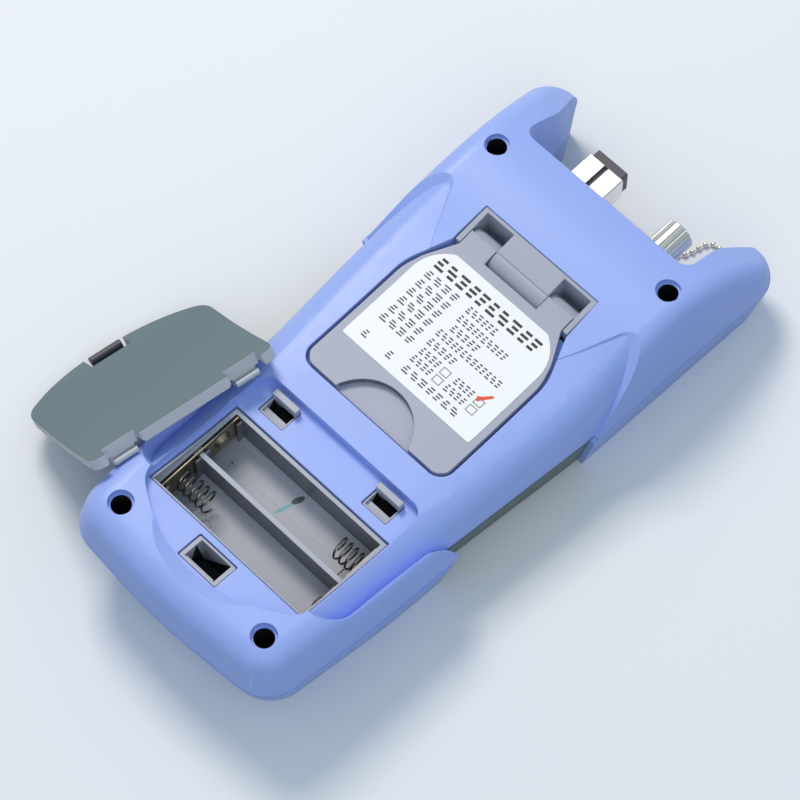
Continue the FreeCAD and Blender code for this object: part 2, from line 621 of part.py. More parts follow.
def seated_door():
    """The battery door as it lies in its recess: plate, rail, two hooks and a sprung latch."""
    edge = RECESS_TOP - DOOR_GAP
    top = back_height(edge)
    plate = slab(recess_outline(DOOR_GAP), 0.0, DOOR_THICK)
    notch_half = LATCH_SLOT[0] / 2 - 0.6
    plate = plate.cut(block(-notch_half, notch_half, -5, LATCH_NOTCH, 0, 60))
    plate = plate.cut(pair(block(HOOK_X - HOOK_BLOCK_HALF - 0.3, HOOK_X + HOOK_BLOCK_HALF + 0.3, HOOK_BLOCK_FACE,
                                 edge + 1, 0, 60)))
    rim = slab(recess_outline(DOOR_GAP), 1.0, RECESS_DEPTH - GAP).common(block(-40, 40, edge - 2.4, edge, 0, 60))
    rail = rim.common(block(-RAIL_HALF, RAIL_HALF, 0, 60, 0, 60))
    lip = rim.common(block(HOOK_X + HOOK_BLOCK_HALF + 0.5, RECESS_HALF, 0, 60, 0, 60))
    rim_low = top - RECESS_DEPTH + GAP
    stem = block(HOOK_X - HOOK_BLOCK_HALF, HOOK_X + HOOK_BLOCK_HALF, HOOK_BLOCK_FACE - 1.6, HOOK_BLOCK_FACE,
                 rim_low, top - 1)
    foot = block(HOOK_X - HOOK_HALF, HOOK_X + HOOK_HALF, HOOK_BLOCK_FACE - 1.6, HOOK_BLOCK_FACE, top - HOOK_END, top - 1)
    barb_r = (HOOK_END - HOOK_FACE) / 2
    barb_end = HOOK_SLOT[2] - 0.6 - barb_r
    barb = block(HOOK_X - HOOK_HALF, HOOK_X + HOOK_HALF, HOOK_BLOCK_FACE - 0.1, barb_end, top - HOOK_END, top - HOOK_FACE)
    tip = rod_x(barb_end, top - HOOK_FACE - barb_r, HOOK_X - HOOK_HALF, HOOK_X + HOOK_HALF, barb_r)
    hooks = [pair(joined([stem, foot, barb, tip])), pair(lip)]
    top = back_height(LATCH_HOLE[1])
    front, back = LATCH_HOLE[1] + 0.5, LATCH_HOLE[2] - 0.5
    bar_z = top - 0.6 - LATCH_BAR_R
    base = top - LATCH_DEPTH
    latch = [rod_x(front, bar_z, -LATCH_HALF, LATCH_HALF, LATCH_BAR_R),
             block(-LATCH_HALF, LATCH_HALF, front, front + 1, base, bar_z),
             block(-LATCH_HALF, LATCH_HALF, front, back, base, base + 1),
             block(-LATCH_HALF, LATCH_HALF, back - 1, back, base, top - 1),
             block(-LATCH_HALF, LATCH_HALF, front - 0.4, front, top - CATCH_DEPTH - 1.2, top - CATCH_DEPTH - GAP)]
    return joined([plate, rail] + hooks + latch)


def battery_door():
    """Taken off and leaning: hook edge on the case beside the bay, latch edge on the ground."""
    door = seated_door()
    door.translate(V(0, -RECESS_TOP, -back_height(RECESS_TOP)))
    door.rotate(V(0, 0, 0), V(1, 0, 0), DOOR_TILT)
    door.rotate(V(0, 0, 0), V(0, 0, 1), DOOR_TURN)
    door.translate(V(*DOOR_PLACE))
    return door


def front_level(half, z, margin):
    """The front half's outline at one height; half is its outline along the parting line."""
    leaning = []
    for x, y, r in half:
        share = (y - PARTING_FROM) / (PARTING_TO - PARTING_FROM)
        lean = LEAN_BATTERY_END + share * (LEAN_PORT_END - LEAN_BATTERY_END)
        shift = lean * (parting_height(y) - z)
        leaning.append((x - shift if x else 0, y + shift if share < 0.5 else y - shift, r))
    return wire(inset(both_sides(leaning), margin), z)


def front_form(half, low, margin=0.0):
    """The front half as one solid, leaning in from the parting line to its face."""
    levels = [front_level(half, z, margin) for z in (low, FRONT_TOP)]
    return Part.makeLoft(levels, True, True).common(beside_parting(-20))


def shell_form(low, margin=0.0):
    """The front shell's outside, which ends at the wall between the horns."""
    return front_form(FRONT_WAIST_OUTLINE, low, margin).common(block(-60, 60, -40, PORT_FACE, -10, 60))


def front_notch():
    """The space between the horns in the front half, opening slightly towards the front."""
    outline = both_sides(NOTCH_LOW)
    return Part.makeLoft([wire(inset(outline, -1.5), -6.0), wire(outline, parting_height(PORT_FACE) + 2)], True, True)


def front_shell():
    inside = front_form(FRONT_WAIST_OUTLINE, FRONT_FACE + WALL, WALL)
    shell = shell_form(FRONT_FACE).cut(inside.common(block(-60, 60, -40, PORT_FACE - WALL, 0, 60)))
    for x, y in screw_places():
        post = rod(x, y, FRONT_FACE + 1, SCREW_SEAT - 2.0 - GAP, POST_R)
        shell = shell.fuse(post.common(shell_form(FRONT_FACE)))
        shell = shell.cut(rod(x, y, FRONT_FACE + 3, 40, SHANK_R - 0.1))
    shell = shell.cut(prism(window_outline(-GAP), -1, 20))
    for x, y in key_places():
        shell = shell.cut(prism(key_outline(x, y, -0.25), -1, 10))
    x, z = ANCHOR
    return shell.cut([port_openings(), rod_y(x, z, PORT_FACE - 10, PORT_FACE + 5, ANCHOR_R)])


def bumper_skin():
    """The outer skin of the front half, outside the shell, with the horns and a lip over its face."""
    skin = front_form(BUMPER_FRONT_OUTLINE, 0.0).cut([front_notch(), shell_form(FRONT_FACE)])
    opening = rectangle(-LIP_HALF, LIP_HALF, LIP_FROM, LIP_TO, 8)
    return skin.cut(prism(opening, -1, FRONT_FACE + 0.5))


def front_bumper_upper():
    return bumper_skin().common(block(-60, 60, UPPER_BUMPER_FROM, 220, -10, 60))


def front_bumper_lower():
    return bumper_skin().common(block(-60, 60, -60, LOWER_BUMPER_TO, -10, 60))


def window_outline(margin=0.0):
    x, y = LCD_CENTRE
    w, h = LCD_SIZE
    return rectangle(x - w / 2 + margin, x + w / 2 - margin, y - h / 2 + margin, y + h / 2 - margin, 2)


def lcd_window():
    return prism(window_outline(), FRONT_FACE + 0.2, FRONT_FACE + WALL)


def lcd_module():
    return prism(inset(window_outline(), -1.5), FRONT_FACE + WALL, BOARD_Z)


def key_places():
    return [(x, y) for y in KEY_ROWS for x in KEY_COLUMNS]


def key_outline(x, y, margin=0.0):
    w, h = KEY_SIZE
    return inset(rectangle(x - w / 2, x + w / 2, y - h / 2, y + h / 2, 3), margin)


def key(x, y):
    """A key cap with the flange that keeps it in the shell and the stem that meets the board."""
    cap = prism(key_outline(x, y), KEY_FACE, FRONT_FACE + WALL + 0.5)
    cap = cap.makeChamfer(0.5, [e for e in cap.Edges if abs(e.BoundBox.ZMax - KEY_FACE) < 0.01])
    flange = prism(key_outline(x, y, -1.2), FRONT_FACE + WALL + GAP, FRONT_FACE + WALL + 1.0)
    return joined([cap, flange, rod(x, y, FRONT_FACE + WALL + 1.0, BOARD_Z - KEY_TRAVEL - 0.4, 3.0)])


def keypad_mat():
    """Sheet under the board that frames the key stems."""
    mat = prism(rectangle(-27, 27, 38, 90, 3), BOARD_Z - 0.9, BOARD_Z)
    for x, y in key_places():
        mat = mat.cut(rod(x, y, 0, 20, 3.6))
    return mat


def main_board():
    board = Part.Face(front_level(FRONT_WAIST_OUTLINE, BOARD_Z, WALL + 0.8)).extrude(V(0, 0, BOARD_THICK))
    board = board.common(block(-60, 60, -40, PORT_FACE - WALL - 2.5, 0, 60))
    for x, y in screw_places():
        board = board.cut(rod(x, y, 0, 40, POST_R + 0.15))
    return board


def case_screws():
    """Four screws, head down in the bores of the rear cover."""
    solids = []
    recess_low = SCREW_SEAT + HEAD_HIGH - DRIVE_DEPTH
    recess_high = SCREW_SEAT + HEAD_HIGH + 1
    for x, y in screw_places():
        head = rod(x, y, SCREW_SEAT, SCREW_SEAT + HEAD_HIGH, HEAD_R)
        shank = rod(x, y, FRONT_FACE + 4, SCREW_SEAT, SHANK_R - 0.1)
        for reach_x, reach_y in ((DRIVE_WIDTH / 2, DRIVE_REACH), (DRIVE_REACH, DRIVE_WIDTH / 2)):
            head = head.cut(block(x - reach_x, x + reach_x, y - reach_y, y + reach_y, recess_low, recess_high))
        solids.append(head.fuse(shank))
    return Part.makeCompound(solids)


def sc_adapter():
    """Square metal sleeve of the light source's port, open towards +Y, slotted along its top."""
    w, h = SC_WIDTH / 2, SC_HEIGHT / 2
    body = block(SC_X - w, SC_X + w, SC_FROM, SC_END, PORT_Z - h, PORT_Z + h)
    body = body.makeFillet(0.6, [e for e in body.Edges if e.Length > SC_END - SC_FROM - 1])
    back = PORT_FACE - WALL - GAP
    flange = block(SC_X - w - SC_FLANGE, SC_X + w + SC_FLANGE, back - SC_FLANGE, back, PORT_Z - h - 0.5,
                   PORT_Z + h + 0.5)
    w, h = w - SC_WALL, h - SC_WALL
    body = body.fuse(flange).cut(block(SC_X - w, SC_X + w, SC_FROM + 2, SC_END + 1, PORT_Z - h, PORT_Z + h))
    body = body.cut(block(SC_X - SC_SLOT / 2, SC_X + SC_SLOT / 2, PORT_FACE + 1.5, SC_END + 1, PORT_Z, PORT_Z + SC_HEIGHT))
    radius, bore, tip = FERRULE
    ferrule = rod_y(SC_X, PORT_Z, SC_FROM + 1, tip, radius)
    return body.fuse(ferrule.cut(rod_y(SC_X, PORT_Z, SC_FROM + 4, tip + 1, bore)))


def sc_dust_cap():
    """Dark push-in cap: a plate over the sleeve's mouth and a plug that fills it."""
    w, h = SC_WIDTH / 2, SC_HEIGHT / 2
    side = SC_WALL + GAP
    plug = block(SC_X - w + side, SC_X + w - side, SC_END - SC_CAP_DEPTH, SC_END + GAP, PORT_Z - h + side,
                 PORT_Z + h - side)
    near = SC_END + 0.05
    over, under = 0.8, 0.4         # the plate stands over the sleeve across X, and stays under it in height
    plate = block(SC_X - w + over, SC_X + w - over, near, near + SC_CAP_THICK, PORT_Z - h + under, PORT_Z + h - under)
    plate = plate.makeFillet(0.5, [e for e in plate.Edges if abs(e.Length - SC_CAP_THICK) < 0.01])
    return plug.fuse(plate)


def fc_port():
    """Threaded barrel of the detector's port with its flange behind the end wall."""
    back = PORT_FACE - WALL - GAP
    barrel = rod_y(FC_X, PORT_Z, DETECTOR[2], FC_CAP_TO - 2.4, FC_BARREL_R)
    flange = rod_y(FC_X, PORT_Z, back - 1.4, back, FC_COLLAR_R + 1.5)
    collar = rod_y(FC_X, PORT_Z, back - 0.5, PORT_FACE + 0.6, FC_COLLAR_R)
    return joined([barrel, flange, collar]).cut(rod_y(FC_X, PORT_Z, DETECTOR[2] + 2, FC_CAP_TO, 1.25))


def fc_cap():
    """Knurled screw cap, closed at its outer end, with a groove for the chain's ring at its root."""
    points = []
    for k in range(2 * KNURLS):
        radius = FC_CAP_R - (KNURL_DEPTH if k % 2 else 0)
        angle = math.pi * k / KNURLS
        points.append(V(FC_X + radius * math.cos(angle), RING_Y + 0.5, PORT_Z + radius * math.sin(angle)))
    knurled = Part.Face(Part.makePolygon(points + points[:1])).extrude(V(0, FC_CAP_TO - RING_Y - 0.5, 0))
    dome = Part.makeCone(FC_CAP_R + 8.0, FC_CAP_R - 0.7, FC_CAP_TO - RING_Y + 0.2, V(FC_X, RING_Y - 0.2, PORT_Z),
                         V(0, 1, 0))
    neck = rod_y(FC_X, PORT_Z, FC_CAP_FROM, RING_Y + 1, CAP_NECK_R)
    lip = rod_y(FC_X, PORT_Z, FC_CAP_FROM, RING_Y - 0.5, FC_CAP_R)
    cap = joined([knurled.common(dome), neck, lip])
    return cap.cut(rod_y(FC_X, PORT_Z, FC_CAP_FROM - 1, FC_CAP_TO - 2.0, FC_BARREL_R + RUNNING))


def cap_ring():
    """Ring that turns in the cap's groove, with an eye for the chain below."""
    low, high = RING_Y - RING_HALF, RING_Y + RING_HALF
    ring = rod_y(FC_X, PORT_Z, low, high, FC_CAP_R + 0.35).cut(rod_y(FC_X, PORT_Z, low - 1, high + 1, CAP_NECK_R + RUNNING))
    eye = block(FC_X - EYE_HALF, FC_X + EYE_HALF, low, high, EYE_Z - EYE_HALF, PORT_Z - FC_CAP_R)
    return ring.fuse(eye)


def chain_anchor():
    """Small screw eye in the end wall that keeps the chain's other end."""
    x, z = ANCHOR
    stud = rod_y(x, z, PORT_FACE - WALL, PORT_FACE + 0.4, ANCHOR_R)
    return stud.fuse(rod_y(x, z, PORT_FACE, PORT_FACE + 1.6, 1.1))


def cord_tube(points, radius):
    """A round cord along straight runs joined by tangent arcs."""
    edges = []
    start = points[0]
    for before, corner, after in zip(points, points[1:], points[2:]):
        a = (corner - before).normalize()
        b = (after - corner).normalize()
        half_turn = 0.5 * math.acos(max(-1.0, min(1.0, a.dot(b))))
        reach = 0.45 * min((corner - before).Length, (after - corner).Length)
        first, last = corner - a * reach, corner + b * reach
        bend = reach / math.tan(half_turn)
        middle = corner + (b - a).normalize() * (bend / math.cos(half_turn) - bend)
        edges += [Part.LineSegment(start, first).toShape(), Part.Arc(first, middle, last).toShape()]
        print("bend radius", round(bend, 2))
        start = last
    edges.append(Part.LineSegment(start, points[-1]).toShape())
    path = Part.Wire(edges)
    section = Part.Wire(Part.makeCircle(radius, points[0], points[1] - points[0]))
    tube = path.makePipeShell([section], True, True)
    print("tube volume over section times length", round(tube.Volume / (math.pi * radius ** 2 * path.Length), 4))
    return tube


def cap_chain():
    return cord_tube([V(*p) for p in CHAIN_ROUTE], CHAIN_R)


def detector_module():
    """Photodiode housing behind the screw port, on the board."""
    half, start, end, height = DETECTOR
    low, high = BOARD_Z + BOARD_THICK, PORT_Z + height
    body = block(FC_X - half, FC_X + half, start, end, low, high)
    return body.makeFillet(0.8, [e for e in body.Edges if abs(e.Length - (high - low)) < 0.01])


def laser_module():
    """Brass barrel of the red-light source behind the square port."""
    barrel = rod_y(SC_X, PORT_Z, LASER_FROM, SC_FROM, LASER_R)
    saddle = block(SC_X - SADDLE_HALF, SC_X + SADDLE_HALF, LASER_FROM + 1, SC_FROM - 2, BOARD_Z + BOARD_THICK, PORT_Z)
    return barrel.fuse(saddle)


NODES = {
    "rear_cover": rear_cover,
    "battery_holder": battery_holder,
    "bridge_contact": bridge_contact,
    "bridge_spring": bridge_spring,
    "positive_contact": positive_contact,
    "negative_contact": negative_contact,
    "negative_spring": negative_spring,
    "stand_bracket": stand_bracket,
    "hinge_pin": hinge_pin,
    "kickstand": kickstand,
    "stand_label": stand_label,
    "battery_door": battery_door,
    "front_shell": front_shell,
    "front_bumper_upper": front_bumper_upper,
    "front_bumper_lower": front_bumper_lower,
    "lcd_window": lcd_window,
    "lcd_module": lcd_module,
    "keypad_mat": keypad_mat,
    "main_board": main_board,
    "case_screws": case_screws,
    "sc_adapter": sc_adapter,
    "sc_dust_cap": sc_dust_cap,
    "fc_port": fc_port,
    "fc_cap": fc_cap,
    "cap_ring": cap_ring,
    "chain_anchor": chain_anchor,
    "cap_chain": cap_chain,
    "detector_module": detector_module,
    "laser_module": laser_module,
}


def write_parts():
    os.makedirs("parts", exist_ok=True)
    for name, make in NODES.items():
        make().exportStep("parts/" + name + ".step")
    for number, (x, y) in enumerate(key_places(), 1):
        key(x, y).exportStep("parts/key_" + str(number) + ".step")


write_parts()
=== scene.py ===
import json
import math

import bmesh
import bpy
from mathutils import Matrix, Vector

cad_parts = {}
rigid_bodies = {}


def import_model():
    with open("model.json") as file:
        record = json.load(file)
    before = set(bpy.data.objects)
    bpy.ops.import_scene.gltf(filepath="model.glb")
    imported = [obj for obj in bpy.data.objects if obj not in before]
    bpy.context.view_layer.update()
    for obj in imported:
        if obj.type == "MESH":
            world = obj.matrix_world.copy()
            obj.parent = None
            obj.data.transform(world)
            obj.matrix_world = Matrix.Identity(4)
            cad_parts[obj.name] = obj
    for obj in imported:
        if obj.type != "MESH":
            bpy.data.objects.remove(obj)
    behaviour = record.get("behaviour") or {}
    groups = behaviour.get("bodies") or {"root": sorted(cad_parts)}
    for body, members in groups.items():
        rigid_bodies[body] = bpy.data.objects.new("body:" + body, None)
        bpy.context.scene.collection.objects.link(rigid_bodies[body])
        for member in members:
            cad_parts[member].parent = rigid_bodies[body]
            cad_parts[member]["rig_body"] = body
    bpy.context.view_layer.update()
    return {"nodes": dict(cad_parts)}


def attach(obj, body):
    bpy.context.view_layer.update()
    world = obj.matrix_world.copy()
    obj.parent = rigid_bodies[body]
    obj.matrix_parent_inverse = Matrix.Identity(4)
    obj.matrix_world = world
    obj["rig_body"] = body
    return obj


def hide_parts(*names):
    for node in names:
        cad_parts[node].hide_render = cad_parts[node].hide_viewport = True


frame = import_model()
scene = bpy.context.scene
scene.view_settings.view_transform = "Standard"

# Camera
# The photograph looks steeply down on the back of the meter from its lower right, through a long lens.
SENSOR, LENS = 36, 173.3          # width of the picture sensor and length of the lens, in millimetres
STANDPOINT = (0.3236, -0.2484, 0.9629)           # metres
FORWARD = Vector((-0.30977, 0.31195, -0.89819))
UPWARD = Vector((-0.63289, 0.63733, 0.43962))
camera_data = bpy.data.cameras.new("camera")
camera_data.sensor_width = SENSOR
camera_data.lens = LENS
camera = bpy.data.objects.new("camera", camera_data)
scene.collection.objects.link(camera)
camera.matrix_world = Matrix.Translation(STANDPOINT) @ Matrix(
    (FORWARD.cross(UPWARD), UPWARD, -FORWARD)).transposed().to_4x4()
scene.camera = camera

# Studio
# Plain soft light: a panel high on the battery door's side, a weak wide one on the other side to fill the
# shadows, and a pale even surround.
LIT = Vector((0, 0.08, 0.02))     # where both panels point
# name, place, side in metres, power in watts and tone of each panel
PANELS = (("panel overhead", (-0.7, 0.39, 1.0), 0.42, 8.7, (1.0, 0.92, 0.85)),
          ("panel filling", (0.55, -0.35, 0.75), 0.7, 1.5, (0.93, 0.98, 1.0)))
for name, place, size, power, tone in PANELS:
    lamp = bpy.data.lights.new(name, "AREA")
    lamp.size = size
    lamp.energy = power
    lamp.color = tone
    panel = bpy.data.objects.new(name, lamp)
    panel.location = place
    panel.rotation_euler = (LIT - panel.location).to_track_quat("-Z", "Y").to_euler()
    scene.collection.objects.link(panel)


def linear(code):
    """An sRGB hex value as linear colour."""
    parts = [int(code[k:k + 2], 16) / 255 for k in (0, 2, 4)]
    return tuple(c / 12.92 if c <= 0.04045 else ((c + 0.055) / 1.055) ** 2.4 for c in parts) + (1.0,)


def add(tree, kind, settings=None, links=None):
    """Adds a node; settings name its properties or inputs, and links its inputs and what feeds them."""
    node = tree.nodes.new(kind)
    for key, value in (settings or {}).items():
        if key in node.bl_rna.properties:
            setattr(node, key, value)
        else:
            node.inputs[key].default_value = value
    for key, source in (links or {}).items():
        tree.links.new(source, node.inputs[key])
    return node


world = bpy.data.worlds.new("pale surround")
world.use_nodes = True
surround = world.node_tree.nodes["Background"]
surround.inputs["Color"].default_value = linear("D2E7F8")
surround.inputs["Strength"].default_value = 0.56
scene.world = world

# The floor shows pale to the eye and in metal, and throws only a little light back on the sides, as a dull
# ground does.
FLOOR_HALF = 3.0                  # metres
sheet = bmesh.new()
bmesh.ops.create_grid(sheet, x_segments=1, y_segments=1, size=FLOOR_HALF)
floor_mesh = bpy.data.meshes.new("floor")
sheet.to_mesh(floor_mesh)
sheet.free()
floor = bpy.data.objects.new("floor", floor_mesh)
scene.collection.objects.link(floor)
paper = bpy.data.materials.new("pale studio paper")
paper.use_nodes = True
tree = paper.node_tree
paper_surface = tree.nodes["Principled BSDF"]
paper_surface.inputs["Roughness"].default_value = 0.9
ray = add(tree, "ShaderNodeLightPath")
mirror_ray = add(tree, "ShaderNodeMath", {"operation": "MAXIMUM"})
tree.links.new(ray.outputs["Is Glossy Ray"], mirror_ray.inputs[0])
tree.links.new(ray.outputs["Is Transmission Ray"], mirror_ray.inputs[1])
seen = add(tree, "ShaderNodeMath", {"operation": "MAXIMUM"})
tree.links.new(ray.outputs["Is Camera Ray"], seen.inputs[0])
tree.links.new(mirror_ray.outputs["Value"], seen.inputs[1])
ground = add(tree, "ShaderNodeMix", {"data_type": "RGBA"})
tree.links.new(seen.outputs["Value"], ground.inputs["Factor"])
ground.inputs["A"].default_value = linear("98A3A0")
ground.inputs["B"].default_value = linear("F1F2F4")
tree.links.new(ground.outputs["Result"], paper_surface.inputs["Base Color"])
floor_mesh.materials.append(paper)

# Rear cover and front bumpers
# Blue ABS mouldings. The cover is one injection-moulded shell with two horns; the bumpers are moulded
# over the ends of the front shell. The mould is spark-eroded, which leaves a fine even grain.
MM = 0.001                        # sizes below are in millimetres
SCREW_PLACES = ((32.5, 148.3), (-32.5, 148.3), (27.1, 0.0), (-27.1, 0.0))
BORE_RADIUS = 2.95
NARROWING = 1.4                   # the sides come in by this much towards the ports
NARROW_ACROSS = (34.0, 44.0)      # it grows over these distances from the middle
NARROW_ALONG = (95.0, 145.0)      # and over this stretch of the length
CLOUD = 25.0                      # size of the faint shading that flow in the mould leaves
GRAIN_DEPTH = 0.1
EASED_EDGE = 0.35                 # radius that the mould gives every edge
WORN_EDGE = (0.3, 0.38)           # how strong a speck is where its nick starts and where it is full
WORN_SHARE = 0.7                  # of the plastic's colour that a nick takes away
# middle, turn in degrees and reach of each worn spot, and the fineness of its specks: pale nicks beside one
# screw bore, and a fine pale scratch down the corner below it
WORN_SPOTS = (((23.8, -5.2, 33.0), 40, (1.1, 2.6, 6.0), 1100.0),
              ((31.5, -9.3, 29.0), 18, (0.35, 4.2, 7.0), 500.0))


def ramp(value, start, end):
    """0 up to the start, 1 from the end on, and even between them; the end may lie below the start."""
    return min(1.0, max(0.0, (value - start) / (end - start)))


def toned(colour, share, lift=0.0):
    """A hex colour made lighter or darker by a share, as linear colour."""
    return tuple(min(1.0, c * share + lift) for c in linear(colour)[:3]) + (1.0,)


def moulded(name, colour, roughness=0.45, grain=0.35, depth=0.12, shade=0.04):
    """Injection-moulded plastic: faintly cloudy, matt from spark-eroded grain, its edges eased.

    The grain is a size in millimetres. A real one is under 0.1 mm and is drawn coarser here, so that it shows.
    """
    material = bpy.data.materials.new(name)
    material.use_nodes = True
    tree = material.node_tree
    surface = tree.nodes["Principled BSDF"]
    place = add(tree, "ShaderNodeTexCoord")
    cloud = add(tree, "ShaderNodeTexNoise", {"Scale": 1000.0 / CLOUD, "Detail": 3.0},
                {"Vector": place.outputs["Object"]})
    tint = add(tree, "ShaderNodeMix", {"data_type": "RGBA"}, {"Factor": cloud.outputs["Fac"]})
    tint.inputs["A"].default_value = toned(colour, 1 - shade)
    tint.inputs["B"].default_value = toned(colour, 1 + shade)
    tree.links.new(tint.outputs["Result"], surface.inputs["Base Color"])
    pits = add(tree, "ShaderNodeTexNoise", {"Scale": 1000.0 / grain, "Detail": 2.0},
               {"Vector": place.outputs["Object"]})
    eased = add(tree, "ShaderNodeBevel", {"samples": 4, "Radius": EASED_EDGE * MM})
    bump = add(tree, "ShaderNodeBump", {"Strength": depth, "Distance": GRAIN_DEPTH * MM},
               {"Height": pits.outputs["Fac"], "Normal": eased.outputs["Normal"]})
    tree.links.new(bump.outputs["Normal"], surface.inputs["Normal"])
    surface.inputs["Roughness"].default_value = roughness
    surface.inputs["IOR"].default_value = 1.53
    return material


def smooth_copy(node_name, *materials, angle=28.0):
    """The CAD node's own surface with its curved faces shaded smooth, standing for the node."""
    node = frame["nodes"][node_name]
    form = bmesh.new()
    form.from_mesh(node.data)
    bmesh.ops.remove_doubles(form, verts=form.verts, dist=1e-6)
    mesh = bpy.data.meshes.new(node_name + "_surface")
    form.to_mesh(mesh)
    form.free()
    if "custom_normal" in mesh.attributes:
        mesh.attributes.remove(mesh.attributes["custom_normal"])
    mesh.materials.clear()
    for material in materials:
        mesh.materials.append(material)
    mesh.polygons.foreach_set("material_index", [0] * len(mesh.polygons))
    mesh.shade_smooth()
    mesh.set_sharp_from_angle(angle=math.radians(angle))
    piece = bpy.data.objects.new(node_name + "_surface", mesh)
    scene.collection.objects.link(piece)
    even = piece.modifiers.new("even shading", "WEIGHTED_NORMAL")
    even.keep_sharp = True
    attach(piece, node["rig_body"])
    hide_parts(node_name)
    return piece


blue_abs = moulded("ABS, blue, spark-eroded grain", "A0B5F6", 0.42)
tree = blue_abs.node_tree
surface = tree.nodes["Principled BSDF"]
place = add(tree, "ShaderNodeTexCoord")
worn = surface.inputs["Base Color"].links[0].from_node.outputs["Result"]
for spot, turn, reach, fineness in WORN_SPOTS:
    patch = add(tree, "ShaderNodeMapping", {"vector_type": "TEXTURE", "Location": tuple(c * MM for c in spot),
                                            "Rotation": (0.0, 0.0, math.radians(turn)),
                                            "Scale": tuple(c * MM for c in reach)},
                {"Vector": place.outputs["Object"]})
    near = add(tree, "ShaderNodeTexGradient", {"gradient_type": "SPHERICAL"},
               {"Vector": patch.outputs["Vector"]})
    specks = add(tree, "ShaderNodeTexNoise", {"Scale": fineness, "Detail": 2.0},
                 {"Vector": place.outputs["Object"]})
    both = add(tree, "ShaderNodeMath", {"operation": "MULTIPLY"})
    tree.links.new(near.outputs["Fac"], both.inputs[0])
    tree.links.new(specks.outputs["Fac"], both.inputs[1])
    nick = add(tree, "ShaderNodeMapRange",
               {"From Min": WORN_EDGE[0], "From Max": WORN_EDGE[1], "To Max": WORN_SHARE},
               {"Value": both.outputs["Value"]})
    scuffed = add(tree, "ShaderNodeMix", {"data_type": "RGBA"}, {"Factor": nick.outputs["Result"], "A": worn})
    scuffed.inputs["B"].default_value = linear("E6EBFA")
    worn = scuffed.outputs["Result"]
tree.links.new(worn, surface.inputs["Base Color"])

# Painted shade: the walls of the screw bores are painted near black for the shade deep down in them.
bore_painted_shade_abs = moulded("ABS, blue, painted shade down the bores", "14161B", 0.6)
for name in ("rear_cover", "front_bumper_upper", "front_bumper_lower"):
    moulding = smooth_copy(name, blue_abs, bore_painted_shade_abs)
    for vert in moulding.data.vertices:
        share = ramp(abs(vert.co.x) / MM, *NARROW_ACROSS) * ramp(vert.co.y / MM, *NARROW_ALONG)
        vert.co.x -= math.copysign(NARROWING * MM * share, vert.co.x)
    # Faces round the screw axes take the bores' painted shade.
    for polygon in moulding.data.polygons:
        if any(math.hypot(polygon.center.x - x * MM, polygon.center.y - y * MM) < BORE_RADIUS * MM
               for x, y in SCREW_PLACES):
            polygon.material_index = 1

# Case screws and hinge pin
# Four plain steel screws with crossed slots, sunk deep in their bores, in the dark; the stand's pin is cut
# from drawn steel wire and pressed in. Turning and drawing leave fine dark marks on the steel, whose grey is
# painted dark as painted shade for the screws deep in their bores; the pin shares it.


def mottled(name, dark, light, scale, detail, roughness=0.5):
    """A surface whose tone wanders between two linear colours, with so many marks to the metre."""
    material = bpy.data.materials.new(name)
    material.use_nodes = True
    tree = material.node_tree
    surface = tree.nodes["Principled BSDF"]
    surface.inputs["Roughness"].default_value = roughness
    place = add(tree, "ShaderNodeTexCoord")
    marks = add(tree, "ShaderNodeTexNoise", {"Scale": scale, "Detail": detail},
                {"Vector": place.outputs["Object"]})
    tone = add(tree, "ShaderNodeMix", {"data_type": "RGBA"}, {"Factor": marks.outputs["Fac"]})
    tone.inputs["A"].default_value = dark
    tone.inputs["B"].default_value = light
    tree.links.new(tone.outputs["Result"], surface.inputs["Base Color"])
    return material


# The steel's dark grey is painted shade for the screws deep in their bores; the pin shares it.
steel = mottled("steel, turned", linear("2E2E30"), linear("5C5C5F"), 900.0, 4.0, 0.38)
steel.node_tree.nodes["Principled BSDF"].inputs["Metallic"].default_value = 1.0
for name in ("case_screws", "hinge_pin"):
    smooth_copy(name, steel)

# Battery holder
# One grey ABS moulding behind the bay, a little glossier than the case: two channels, a divider, linings of
# the hook and latch slots. Its floor carries a raised field, a small cross and a pair of rings, moulded in,
# and a stain of teal ink. Its walls are glossier and painted darker as painted shade, and the deep parts of
# the hook and latch slots are painted near black as painted shade.
FLOOR_Z = 16.0                    # floor of both channels
WALL = 0.35                       # a face is a wall where its normal rises by less than this
# half width, start and end along the case, and top, of the room with painted wall shade, the latch slot and
# the hook slots
BAY_HALF, BAY_FROM, BAY_TO, BAY_TOP = 27.5, 12.5, 42.6, 31.0
LATCH_HALF, LATCH_FROM, LATCH_TO, LATCH_TOP = 5.55, 2.35, 8.85, 27.5
HOOK_HALF, HOOK_FROM, HOOK_TO, HOOK_TOP = 3.95, 48.2, 54.65, 24.0
HOOK_X = 19.7                     # how far each of the two hook slots is from the middle
